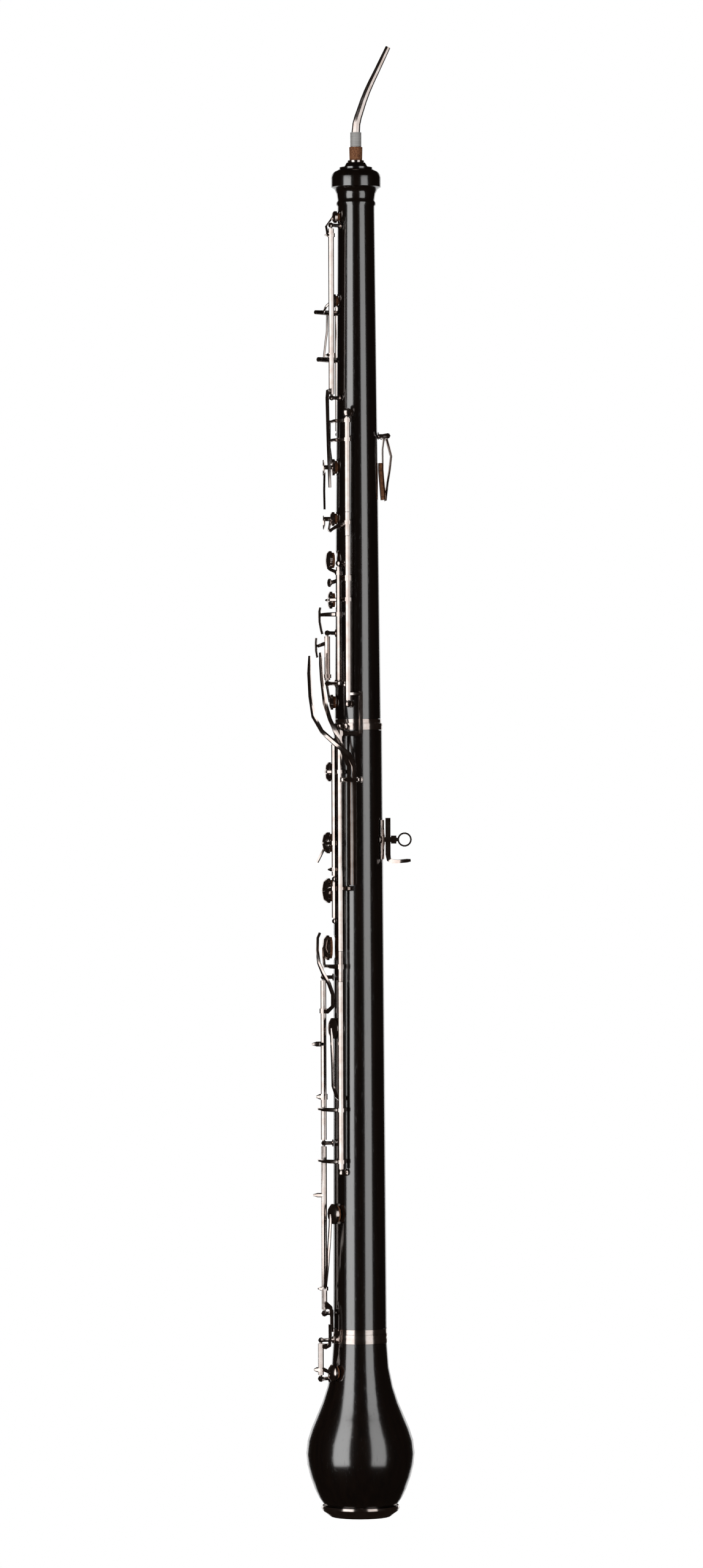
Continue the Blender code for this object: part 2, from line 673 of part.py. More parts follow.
def hand_levers():
    """Two long rockers on one crosswise axle, with touches for the left little finger."""
    z = MIDDLE - 33.6
    y = -21.4
    axle_r = hypot(-8.9, y)
    left = Vector((-8.9, y, z))
    right = Vector((1.3, y, z))
    heads = []
    for end in (left, right):
        angle = degrees(Vector((-1.0, 0.0)).angle_signed(Vector((end.x, end.y))))
        heads.append(post(-angle if angle < 0 else angle, hypot(end.x, end.y), z, SMALL_BALL + 0.1))
    steel = rod(left, right, STEEL_R)
    finish("hand_lever_posts", combine(steel, heads, 'UNION'), NICKEL)
    tail_z = MIDDLE - 96.0
    facing = Vector((0.0, -1.0, 0.0))
    for name, x, out, path in (
            ("inner_hand_lever", -5.2, y - 0.2,
             [(-12.0, -22.8, MIDDLE - 8.0), (-16.6, -20.4, MIDDLE + 2.0), (-19.6, -17.4, MIDDLE + 12.0),
              (-21.2, -14.6, MIDDLE + 26.0), (-21.8, -13.6, MIDDLE + 35.0),
              (-22.2, -13.0, MIDDLE + 42.0)]),
            ("outer_hand_lever", -2.4, y - 3.0,
             [(-13.0, -26.4, MIDDLE - 12.6), (-21.4, -23.4, MIDDLE - 5.0), (-26.4, -19.6, MIDDLE + 4.0),
              (-28.2, -17.0, MIDDLE + 16.0), (-28.9, -15.4, MIDDLE + 30.0),
              (-28.6, -14.6, MIDDLE + 40.0)])):
        barrel = rod(Vector((x - 1.25, y, z)), Vector((x + 1.25, y, z)), TUBE_R)
        shank = [(Vector((x, y + 0.9, tail_z)), 2.2, 1.4, facing),
                 (Vector((x, y - 0.1, tail_z + 10.0)), 2.3, 1.5, facing),
                 (Vector((x, y, z)), 2.4, 1.9, facing),
                 (Vector((x - 0.2, out - 0.3, z + 8.0)), 2.6, 1.6, facing),
                 (Vector((x - 3.0, out - 1.0, z + 15.0)), 3.0, 1.4, facing)]
        reach = [(Vector(place), 3.2, 1.4) for place in path[:2]]
        reach += [(Vector(place), 4.2, 1.4) for place in path[2:-1]]
        reach += [(Vector(path[-1]), 2.6, 1.0)]
        lever = combine(barrel, [strap(shank + reach)], 'UNION')
        bore = rod(Vector((x - 3.0, y, z)), Vector((x + 3.0, y, z)), TUBE_BORE_R)
        lever = combine(lever, [bore], 'DIFFERENCE')
        finish(name, lever, NICKEL, Vector((x, y, z)))


def lower_stack():
    axle = LINK_AXLE
    make_frame("lower_stack_posts", axle, [(LINK_LOW, BALL), (LINK_HIGH, BALL)])
    link_end = LINK_LOW + 131.5
    sixth_end = LINK_LOW + 113.6

    link = Cup(3.0, MIDDLE - 28.9, 5.2, 5.4, 3.2)
    tab_z = LINK_HIGH - BALL - 2.2
    under_r = wood_radius(link.z) + 1.9
    bodies = [collar(axle, tab_z, 3.0),
              run([(axle.angle, axle.radius, tab_z), (70.0, BRIDGE_R + 1.5, tab_z),
                   (84.0, BRIDGE_R, tab_z), (BRIDGE_ANGLE, BRIDGE_R, tab_z)], 3.0, BRIDGE_THICK),
              collar(axle, link.z),
              run([(axle.angle, axle.radius, link.z), (52.0, under_r + 1.4, link.z),
                   (45.0, under_r, link.z), (37.0, under_r + 0.8, link.z),
                   (27.0, link.seat + link.height + 0.5, link.z),
                   (14.0, link.seat + link.height + 0.2, link.z), link.back(0.3)], 2.6, 1.2)]
    make_key("lower_link_key", axle, link_end + GAP / 2, LINK_HIGH - BALL - GAP, bodies,
             [(link, "lower_link_pad")], 0.8, "lower")

    sixth = Cup(2.0, LINK_LOW + 133.3, 6.9, 5.7, 4.4)
    arm_z = LINK_LOW + 122.4
    bodies = [collar(axle, arm_z, 2.8),
              sweep((axle.angle, axle.radius, arm_z), (6.0, sixth.seat + 4.6, arm_z), 2.8, 1.6),
              run([(6.0, sixth.seat + 4.8, arm_z - 1.0), (4.0, sixth.seat + 5.2, arm_z + 5.0),
                   (2.0, sixth.seat + 5.2, sixth.z)], 3.0, 1.6, 2.2)]
    make_key("sixth_plate", axle, sixth_end + GAP / 2, link_end - GAP / 2, bodies,
             [(sixth, "sixth_pad")], 2.0, "lower")

    low_c = Cup(28.0, LINK_LOW + 85.5, 5.6, 4.7, 3.8)
    over_r = FOOT_AXLE.radius + TUBE_R + 1.2
    low_arm = LINK_LOW + 6.6
    high_arm = LINK_LOW + 37.3
    back_r = low_c.seat + low_c.height - 0.4
    bodies = [collar(axle, high_arm), collar(axle, low_arm),
              run([(axle.angle, axle.radius, high_arm), (40.0, 22.0, high_arm), (24.0, 24.0, high_arm),
                   (10.0, over_r, high_arm), (1.0, over_r + 0.1, high_arm)], 2.6, 1.3, 1.6),
              run([(axle.angle, axle.radius, low_arm), (40.0, 22.0, low_arm), (24.0, 24.0, low_arm),
                   (10.0, over_r, low_arm), (1.0, over_r + 0.1, low_arm)], 2.6, 1.3, 1.6),
              run([(axle.angle, axle.radius, high_arm + 6.0), (44.0, back_r, high_arm + 8.0),
                   (33.0, back_r - 0.2, high_arm + 14.0), (31.0, back_r - 0.4, high_arm + 26.0),
                   (29.0, back_r, low_c.z - 4.0), (28.0, back_r, low_c.z)], 2.8, 1.4)]
    make_key("low_c_key", axle, LINK_LOW + BALL + GAP, sixth_end - GAP / 2, bodies,
             [(low_c, "low_c_pad")], 0.0, "lower")


def front_pair():
    axle = FRONT_AXLE
    make_frame("front_posts", axle, [(FRONT_LOW, SMALL_BALL), (FRONT_MID, SMALL_BALL),
                                     (FRONT_HIGH, SMALL_BALL)])
    fourth = Cup(2.0, MIDDLE - 71.2, 5.8, 6.6, 3.6)
    tail_z = MIDDLE - 86.9
    bodies = [collar(axle, fourth.z, 2.6),
              sweep((axle.angle, axle.radius, fourth.z), (8.0, fourth.seat + 5.4, fourth.z), 2.8, 1.5),
              collar(axle, tail_z), spur(axle, tail_z, 4.4),
              run([(4.0, fourth.seat + 5.6, fourth.z - 4.0), (3.0, 21.6, fourth.z - 8.4),
                   (2.0, 23.2, fourth.z - 11.6)], 3.0, 1.4, 2.0)]
    make_key("fourth_plate", axle, FRONT_MID + SMALL_BALL + GAP, FRONT_HIGH - SMALL_BALL - GAP,
             bodies, [(fourth, "fourth_pad")], 1.5, "lower")

    fifth = Cup(2.0, MIDDLE - 99.7, 6.9, 6.8, 4.2)
    tail_z = MIDDLE - 98.2
    under_r = wood_radius(tail_z) + 2.0
    bodies = [collar(axle, tail_z, 2.6),
              sweep((axle.angle, axle.radius, tail_z), (8.0, fifth.seat + 5.8, fifth.z), 2.8, 1.5),
              run([(axle.angle, axle.radius, tail_z), (52.0, under_r + 1.0, tail_z),
                   (59.0, under_r, tail_z), (68.0, under_r + 0.9, tail_z),
                   (76.0, under_r + 2.0, tail_z)], 2.6, 1.3, 3.0)]
    make_key("fifth_plate", axle, FRONT_LOW + SMALL_BALL + GAP, FRONT_MID - SMALL_BALL - GAP,
             bodies, [(fifth, "fifth_pad")], 1.3, "lower")


def foot_keys():
    axle = FOOT_AXLE
    make_frame("foot_posts", axle, [(FOOT_LOW, BALL), (FOOT_MID, SMALL_BALL),
                                    (FOOT_HIGH, SMALL_BALL)])
    base_z = FOOT_HIGH - 20.1
    bodies = [collar(axle, base_z, 2.8),
              run([(axle.angle, axle.radius, base_z), (24.0, 20.2, base_z), (36.0, 19.2, base_z + 3.0),
                   (38.0, 19.6, base_z + 10.0), (33.0, 21.2, base_z + 16.6), (25.0, 23.4, base_z + 22.6),
                   (17.0, 24.8, base_z + 28.6), (12.0, 25.2, base_z + 36.0),
                   (9.0, 24.8, base_z + 43.4), (8.0, 23.4, base_z + 46.4)], 3.0, 1.6, 4.0),
              spur(axle, FOOT_HIGH - 39.8, 7.0, 3.0),
              collar(axle, FOOT_HIGH - 71.2, 3.4), spur(axle, FOOT_HIGH - 71.2, 4.6, 3.0)]
    make_key("long_touch_key", axle, FOOT_MID + SMALL_BALL + GAP,
             FOOT_HIGH - SMALL_BALL - GAP, bodies)

    cup = Cup(34.0, LOWER_BASE + 71.8, 5.4, 5.2, 4.0)
    arm_z = LOWER_BASE + 26.9
    back_r = cup.seat + cup.height - 0.4
    plate_z = FOOT_LOW + BALL + 3.0
    bodies = [collar(axle, arm_z), spur(axle, arm_z, 4.0),
              run([(axle.angle, axle.radius, arm_z), (19.0, 21.0, arm_z + 3.0), (25.0, 20.4, arm_z + 14.0),
                   (30.0, 20.0, arm_z + 27.0), (33.0, back_r, cup.z - 7.0),
                   (34.0, back_r, cup.z)], 3.6, 1.5, 2.6),
              spur(axle, FOOT_MID - 31.0, 6.6, 2.6),
              run([(axle.angle, axle.radius, plate_z), (20.0, 20.2, plate_z), (30.0, 19.0, plate_z - 1.4),
                   (31.0, 18.7, plate_z - 6.0), (31.0, 18.6, LOWER_BASE + 1.8)], 4.0, 1.2, 5.2)]
    make_key("foot_key", axle, FOOT_LOW + BALL + GAP, FOOT_MID - SMALL_BALL - GAP, bodies,
             [(cup, "foot_pad")], 1.2, "lower")


def bell_vent():
    axle = BELL_AXLE
    make_frame("bell_key_posts", axle, [(BELL_POST_LOW, BALL), (BELL_POST_HIGH, SMALL_BALL)])
    cup = Cup(37.0, LOWER_BASE - 22.4, 4.2, 5.0, 3.4)
    arm_z = BELL_POST_LOW + 5.4
    plate_z = BELL_POST_HIGH - SMALL_BALL - 1.8
    bodies = [collar(axle, arm_z), spur(axle, arm_z, 4.2, 3.0),
              run([(axle.angle, axle.radius, arm_z), (27.0, 22.8, arm_z),
                   cup.back(0.5)], 2.8, 1.5, 2.2),
              run([(axle.angle, axle.radius, plate_z), (25.0, 22.0, plate_z), (32.0, 20.8, plate_z + 1.0),
                   (33.0, 20.6, plate_z + 6.0), (33.0, 20.6, LOWER_BASE + 6.2)], 3.0, 1.2, 4.4)]
    make_key("bell_key", axle, BELL_POST_LOW + BALL + GAP, BELL_POST_HIGH - SMALL_BALL - GAP,
             bodies, [(cup, "bell_pad")], 1.0, "bell")


# Body of the instrument

def arc(centre, reach, first, last, steps):
    """Points on an elliptical arc, its angles in degrees from the outward direction."""
    points = []
    for step in range(steps + 1):
        turn = radians(first + (last - first) * step / steps)
        points.append((centre[0] + reach[0] * cos(turn), centre[1] + reach[1] * sin(turn)))
    return points


def wood(name, profile, cups, extra=(), sides=WOOD_SIDES):
    body = turned(profile, sides, closed=True)
    cutters = [cup.hole() for cup in cups] + list(extra)
    return finish(name, combine(body, cutters, 'DIFFERENCE'), WOOD)


def ring(name, profile, sides=WOOD_SIDES):
    return finish(name, turned(profile, sides, closed=True), NICKEL)


def upper_joint():
    seat_r = UPPER_FOOT_R - RING_WALL
    shoulder = MIDDLE + UPPER_RING_HEIGHT + GAP
    step = MIDDLE + GAP * 1.5
    tenon_end = MIDDLE - UPPER_TENON_LENGTH
    groove = UPPER_TENON_R - CORK_DEPTH
    cove = TOP - FINIAL_LENGTH + 3.5
    straight = TOP - 14.6
    profile = [(FINIAL_TOP_R, TOP), (FINIAL_TOP_R + 1.4, TOP - 2.4), (FINIAL_FLANGE_R, TOP - 2.8),
               (FINIAL_FLANGE_R, TOP - 4.0)]
    profile += arc((FINIAL_FLANGE_R, TOP - 8.8), (FINIAL_R - FINIAL_FLANGE_R, 4.4), 75, 0, 3)
    profile += [(FINIAL_R, straight)]
    profile += arc((FINIAL_R, cove), (UPPER_TOP_R - FINIAL_R, straight - cove), 60, 0, 2)
    profile += [(UPPER_TOP_R + 0.75, cove - 1.2), (UPPER_TOP_R + 0.75, cove - 2.4),
                (UPPER_TOP_R, TOP - FINIAL_LENGTH), (UPPER_FOOT_R, shoulder), (seat_r, shoulder),
                (seat_r, step), (UPPER_TENON_R, step), (UPPER_TENON_R, MIDDLE - TENON_FLANGE),
                (groove, MIDDLE - TENON_FLANGE), (groove, tenon_end + TENON_FLANGE),
                (UPPER_TENON_R, tenon_end + TENON_FLANGE), (UPPER_TENON_R, tenon_end),
                (BORE_MIDDLE_R, tenon_end), (BORE_TOP_R, TOP - RECEIVER_DEPTH - GAP)]
    hole_r = RECEIVER_R + RECEIVER_WALL + GAP
    profile += [(hole_r, TOP - RECEIVER_DEPTH - GAP), (hole_r, TOP)]
    wood("upper_joint", profile, HOLES["upper"])
    outer = UPPER_FOOT_R + 0.15
    inner = seat_r + GAP
    low = MIDDLE + GAP / 2
    high = MIDDLE + UPPER_RING_HEIGHT
    ring("upper_tenon_ring", [(outer, high), (outer, low), (inner, low), (inner, high)])
    cork_r = UPPER_TENON_R + 0.2
    finish("upper_tenon_cork", turned(
        [(cork_r, MIDDLE - TENON_FLANGE - GAP), (cork_r, tenon_end + TENON_FLANGE + GAP),
         (groove + GAP, tenon_end + TENON_FLANGE + GAP), (groove + GAP, MIDDLE - TENON_FLANGE - GAP)],
        WOOD_SIDES, closed=True), CORK)


def lower_joint():
    socket_r = UPPER_TENON_R + 0.5
    seat_r = LOWER_TOP_R - RING_WALL - 0.4
    high = MIDDLE - GAP * 1.5
    under_ring = MIDDLE - SOCKET_RING_HEIGHT - GAP
    foot_seat = LOWER_FOOT_R - RING_WALL - GAP
    over_ring = LOWER_BASE + FOOT_RING_HEIGHT + GAP
    step = LOWER_BASE + GAP * 1.5
    tenon_end = LOWER_BASE - LOWER_TENON_LENGTH
    groove = LOWER_TENON_R - CORK_DEPTH
    socket_floor = MIDDLE - UPPER_TENON_LENGTH - 0.8
    profile = [(seat_r, high), (seat_r, under_ring), (LOWER_TOP_R, under_ring),
               (LOWER_FOOT_R, over_ring), (foot_seat, over_ring), (foot_seat, step),
               (LOWER_TENON_R, step), (LOWER_TENON_R, LOWER_BASE - TENON_FLANGE),
               (groove, LOWER_BASE - TENON_FLANGE), (groove, tenon_end + TENON_FLANGE),
               (LOWER_TENON_R, tenon_end + TENON_FLANGE), (LOWER_TENON_R, tenon_end),
               (BORE_FOOT_R, tenon_end), (BORE_MIDDLE_R, socket_floor), (socket_r, socket_floor),
               (socket_r, high)]
    screw_hole = rod(Vector((10.5, 0.0, SCREW_Z)), Vector((18.0, 0.0, SCREW_Z)), SCREW_R + GAP)
    wood("lower_joint", profile, HOLES["lower"], [screw_hole])
    inner = seat_r + GAP
    outer = LOWER_TOP_R + 0.2
    bead = MIDDLE - 1.1
    ring("lower_socket_ring", [(outer, MIDDLE), (outer, bead + 0.7), (SOCKET_BEAD_R, bead),
                               (outer, bead - 0.7), (outer, MIDDLE - SOCKET_RING_HEIGHT),
                               (inner, MIDDLE - SOCKET_RING_HEIGHT), (inner, MIDDLE)])
    outer = LOWER_FOOT_R + 0.15
    inner = foot_seat + GAP
    low = LOWER_BASE + GAP / 2
    ring("lower_tenon_ring", [(outer, LOWER_BASE + FOOT_RING_HEIGHT), (outer, low), (inner, low),
                              (inner, LOWER_BASE + FOOT_RING_HEIGHT)])
    cork_r = LOWER_TENON_R + 0.2
    finish("lower_tenon_cork", turned(
        [(cork_r, LOWER_BASE - TENON_FLANGE - GAP), (cork_r, tenon_end + TENON_FLANGE + GAP),
         (groove + GAP, tenon_end + TENON_FLANGE + GAP),
         (groove + GAP, LOWER_BASE - TENON_FLANGE - GAP)], WOOD_SIDES, closed=True), CORK)


def bell():
    socket_r = LOWER_TENON_R + 0.5
    seat_r = NECK_R - RING_WALL
    high = BELL_LENGTH - GAP * 1.5
    socket_floor = LOWER_BASE - LOWER_TENON_LENGTH - 0.8
    outside = bell_outside()
    foot = outside[-1][1]
    belly = (BELLY_R - BELL_WALL, BELLY_Z + 1.0)
    throat = (BORE_FOOT_R + 1.0, socket_floor - 3.0)
    mouth = (MOUTH_R + 0.4, foot)
    inside = [mouth]
    inside += bezier((mouth, belly), ((mouth[0] + 6.0, foot + 4.0), (belly[0], belly[1] - 11.0)), 4)
    inside += bezier((belly, throat), ((belly[0], belly[1] + 18.0),
                                       (throat[0] + 1.0, throat[1] - 22.0)), 6)
    profile = [(seat_r, high), (seat_r, outside[0][1])] + outside + inside
    profile += [(throat[0], socket_floor), (socket_r, socket_floor), (socket_r, high)]
    wood("bell", profile, HOLES["bell"], sides=BELL_SIDES)
    low = BELL_LENGTH - BELL_RING_HEIGHT
    outer = NECK_R + RING_PROUD
    inner = seat_r + GAP
    ring("bell_socket_ring", [(outer - 0.2, BELL_LENGTH), (outer, BELL_LENGTH - 1.0),
                              (outer - 0.3, BELL_LENGTH - 2.2), (outer, BELL_LENGTH - 3.4),
                              (outer, low), (inner, low), (inner, BELL_LENGTH)], BELL_SIDES)
    ring("bell_rim", [(RIM_R - 0.6, RIM_HEIGHT), (RIM_R, RIM_HEIGHT - 1.4),
                      (RIM_R - 0.9, RIM_HEIGHT - 3.2), (RIM_FOOT_R, 0.0), (MOUTH_R, 0.0),
                      (MOUTH_R, RIM_HEIGHT)], BELL_SIDES)


def bocal_line(offset):
    """Centre line of the bocal; the offset lengthens it past both ends."""
    foot = TOP - RECEIVER_DEPTH + 2.0
    bend = TOP + BOCAL_CORK_TOP + BOCAL_BAND_HEIGHT
    rise = TOP + BOCAL_RISE - bend
    tip = Vector((BOCAL_REACH, 0.0, TOP + BOCAL_RISE))
    lead = Vector((0.43, 0.0, 0.9)).normalized()
    line = [Vector((0.0, 0.0, foot - offset)), Vector((0.0, 0.0, bend - 4.0)),
            Vector((0.4, 0.0, bend + rise * 0.1)), Vector((2.6, 0.0, bend + rise * 0.25)),
            Vector((6.8, 0.0, bend + rise * 0.48)), Vector((12.6, 0.0, bend + rise * 0.72)),
            tip + lead * offset]
    return line


def bocal_tube(offset, shrink):
    """A tapered tube blank on the bocal's line."""
    line = bocal_line(offset)
    curve = bpy.data.curves.new("bocal", 'CURVE')
    curve.dimensions = '3D'
    curve.bevel_depth = MM
    curve.bevel_resolution = 2
    curve.resolution_u = 2
    curve.use_fill_caps = True
    spline = curve.splines.new('BEZIER')
    spline.bezier_points.add(len(line) - 1)
    for k, (knot, place) in enumerate(zip(spline.bezier_points, line)):
        knot.co = place * MM
        knot.handle_left_type = 'AUTO'
        knot.handle_right_type = 'AUTO'
        share = max(k - 1, 0) / (len(line) - 2)
        knot.radius = BOCAL_FOOT_R + (BOCAL_TIP_R - BOCAL_FOOT_R) * share - shrink
    made = add_object("body", curve, CUTTERS)
    mesh = evaluated_mesh(made)
    bpy.data.objects.remove(made)
    shape = bmesh.new()
    shape.from_mesh(mesh)
    bmesh.ops.remove_doubles(shape, verts=shape.verts, dist=0.000001)
    bmesh.ops.scale(shape, vec=Vector((1 / MM, 1 / MM, 1 / MM)), verts=shape.verts)
    return from_bmesh(shape)


def bocal():
    tube = combine(bocal_tube(0.0, 0.0), [bocal_tube(2.0, BOCAL_WALL)], 'DIFFERENCE')
    finish("bocal_tube", tube, NICKEL)
    inner = BOCAL_FOOT_R + GAP
    cork_top = TOP + BOCAL_CORK_TOP
    finish("bocal_cork", turned(
        [(BOCAL_CORK_R + 0.2, cork_top - GAP), (BOCAL_CORK_R, TOP + 1.5),
         (BOCAL_CORK_R - 0.3, TOP - RECEIVER_DEPTH + 4.0), (inner, TOP - RECEIVER_DEPTH + 4.0),
         (inner, cork_top - GAP)], BOCAL_SIDES, closed=True), CORK)
    band_r = inner + 0.4
    finish("bocal_band", turned(
        [(band_r, cork_top + BOCAL_BAND_HEIGHT), (band_r, cork_top), (inner, cork_top),
         (inner, cork_top + BOCAL_BAND_HEIGHT)], BOCAL_SIDES, closed=True), SLEEVE)
    outer = RECEIVER_R + RECEIVER_WALL
    lip = TOP + GAP
    finish("bocal_receiver", turned(
        [(outer + 0.4, lip + 1.0), (outer + 0.4, lip), (outer, lip), (outer, TOP - RECEIVER_DEPTH),
         (RECEIVER_R, TOP - RECEIVER_DEPTH), (RECEIVER_R, lip + 1.0)], BOCAL_SIDES, closed=True), NICKEL)


# Thumb rest on the back of the lower joint
SCREW_Z = MIDDLE - 69.4
SCREW_R = 1.5
SADDLE_HEIGHT = 23.4
SADDLE_THICK = 0.6
BOSS_HEIGHT = 9.2
BOSS_RISE = 0.3
HOOK_HIGH = 12.9
HOOK_LOW = 12.6
HOOK_THICK = 3.0
HOOK_WIDTH = 8.0
SHELF_REACH = 31.2
SHELF_WIDTH = 14.0
SLIDE = 5.0
RING_CENTRE = 27.6
RING_HOLE_R = 3.3
RING_WIRE_R = 0.5


def thumb_rest():
    back = 180.0
    half_plate = SADDLE_THICK / 2
    saddle_r = wood_radius(SCREW_Z) + GAP + half_plate
    saddle = strap([(at(back - 28.0 + 8.0 * k, saddle_r, SCREW_Z), SADDLE_HEIGHT, SADDLE_THICK)
                    for k in range(8)], True)
    boss = strap([(at(back + 13.0 * k, saddle_r + BOSS_RISE / 2, SCREW_Z),
                   BOSS_HEIGHT * cos(radians(28.0 * k)), SADDLE_THICK + BOSS_RISE)
                  for k in (-2.6, -2, -1, 0, 1, 2, 2.6)])
    saddle = combine(saddle, [boss], 'UNION')
    hole = rod(Vector((10.0, 0.0, SCREW_Z)), Vector((18.0, 0.0, SCREW_Z)), SCREW_R + GAP)
    finish("thumb_rest_saddle", combine(saddle, [hole], 'DIFFERENCE'), NICKEL)

    face = saddle_r + half_plate + BOSS_RISE + GAP
    middle = face + HOOK_THICK / 2
    shelf_z = SCREW_Z - HOOK_LOW
    out = Vector((1.0, 0.0, 0.0))
    up = Vector((0.0, 0.0, 1.0))
    stations = [(Vector((middle, 0.0, SCREW_Z + HOOK_HIGH)), HOOK_WIDTH, HOOK_THICK, out),
                (Vector((middle, 0.0, shelf_z + 3.6)), HOOK_WIDTH, HOOK_THICK, out),
                (Vector((middle + 0.5, 0.0, shelf_z + 0.7)), HOOK_WIDTH, 2.8, out + up * 0.6),
                (Vector((middle + 2.6, 0.0, shelf_z - 0.4)), HOOK_WIDTH + 1.5, 2.3, out * 0.3 + up),
                (Vector((middle + 6.0, 0.0, shelf_z - 0.5)), SHELF_WIDTH, 2.0, up),
                (Vector((SHELF_REACH - 2.0, 0.0, shelf_z)), SHELF_WIDTH, 2.0, up),
                (Vector((SHELF_REACH, 0.0, shelf_z + 0.2)), SHELF_WIDTH - 4.0, 1.4, up)]
    hook = strap(stations, True)
    slot_r = SCREW_R + GAP
    ends = [rod(Vector((face - 2.0, 0.0, SCREW_Z + shift)), Vector((face + 6.0, 0.0, SCREW_Z + shift)),
                slot_r) for shift in (-SLIDE - 0.4, SLIDE + 0.4)]
    between = strap([(Vector((middle, 0.0, SCREW_Z - SLIDE - 0.4)), slot_r * 2, 8.0, out),
                     (Vector((middle, 0.0, SCREW_Z + SLIDE + 0.4)), slot_r * 2, 8.0, out)], True)
    slot = combine(between, ends, 'UNION')
    finish("thumb_rest_hook", combine(hook, [slot], 'DIFFERENCE'), NICKEL)

    outer_face = face + HOOK_THICK + GAP
    shank = rod(Vector((11.4, 0.0, SCREW_Z)), Vector((outer_face + 0.5, 0.0, SCREW_Z)), SCREW_R)
    neck = rod(Vector((outer_face, 0.0, SCREW_Z)), Vector((outer_face + 3.2, 0.0, SCREW_Z)), 2.4)
    major = RING_HOLE_R + RING_WIRE_R
    bpy.ops.mesh.primitive_torus_add(major_segments=18, minor_segments=6, major_radius=major * MM,
                                     minor_radius=RING_WIRE_R * MM,
                                     location=(RING_CENTRE * MM, 0.0, SCREW_Z * MM),
                                     rotation=(pi / 2, 0.0, 0.0))
    loop = bpy.context.object
    for holder in list(loop.users_collection):
        holder.objects.unlink(loop)
    CUTTERS.objects.link(loop)
    link_end = Vector((RING_CENTRE - major, 0.0, SCREW_Z))
    tongue = rod(Vector((outer_face + 2.8, 0.0, SCREW_Z)), link_end, 1.4, 0.9)
    finish("strap_ring", combine(shank, [neck, tongue, loop], 'UNION'), NICKEL)


side_octave()
octave_vent()
upper_stack()
side_pair()
thumb_octave()
hand_levers()
lower_stack()
front_pair()
foot_keys()
bell_vent()
upper_joint()
lower_joint()
bell()
bocal()
thumb_rest()
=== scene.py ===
"""Looks of the English horn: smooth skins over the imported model, materials, lights and camera."""
import json

from math import atan, cos, pi, radians, sin, tan

import bmesh
import bpy
from mathutils import Matrix, Vector


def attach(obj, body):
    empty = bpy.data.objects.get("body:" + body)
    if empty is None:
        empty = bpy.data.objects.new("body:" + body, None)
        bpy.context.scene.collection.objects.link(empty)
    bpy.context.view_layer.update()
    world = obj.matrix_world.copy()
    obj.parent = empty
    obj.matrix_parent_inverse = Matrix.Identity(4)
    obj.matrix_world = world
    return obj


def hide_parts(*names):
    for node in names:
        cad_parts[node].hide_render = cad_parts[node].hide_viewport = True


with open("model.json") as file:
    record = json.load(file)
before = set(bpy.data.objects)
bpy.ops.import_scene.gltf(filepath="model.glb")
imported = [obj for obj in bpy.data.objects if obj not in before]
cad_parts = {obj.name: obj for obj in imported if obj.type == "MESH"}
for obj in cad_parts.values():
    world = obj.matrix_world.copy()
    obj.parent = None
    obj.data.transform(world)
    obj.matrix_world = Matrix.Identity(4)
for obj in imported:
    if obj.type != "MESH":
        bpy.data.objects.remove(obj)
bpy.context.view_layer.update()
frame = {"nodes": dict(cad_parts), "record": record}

# The photograph's view: size in pixels, and the instrument's place and scale in it
IMAGE = (1148, 2560)
METRES_PER_PIXEL = 0.0003652
RIM_ROW = 2475
AXIS_COLUMN = 584.77
AXIS_LEAN = 7.5 / 2082
CAMERA_DISTANCE = 3.6
SENSOR = 0.024

CLIP_END = 100.0

# Upright softboxes: name, near and far angle round the object from the camera's side, radiance
LIGHT_DISTANCE = 1.5
LIGHT_CENTRE = 0.42
LIGHT_HEIGHT = 1.75
SOFTBOXES = (("left_softbox", -60.0, -24.0, 1.9),
             ("right_softbox", 24.0, 56.0, 1.2),
             ("back_left_softbox", -174.0, -150.0, 1.2),
             ("back_right_softbox", 150.0, 174.0, 1.2))
DIM = (0.014, 0.010, 0.008)
WHITE = (1.0, 1.0, 1.0)

# The wood mirrors the softboxes as brightly as in the photograph
WOOD_IOR = 2.5
# Skins: weld distance in metres, and the angle above which an edge stays sharp
WELD = 0.000005
SHARP_ANGLE = 40.0


# Materials

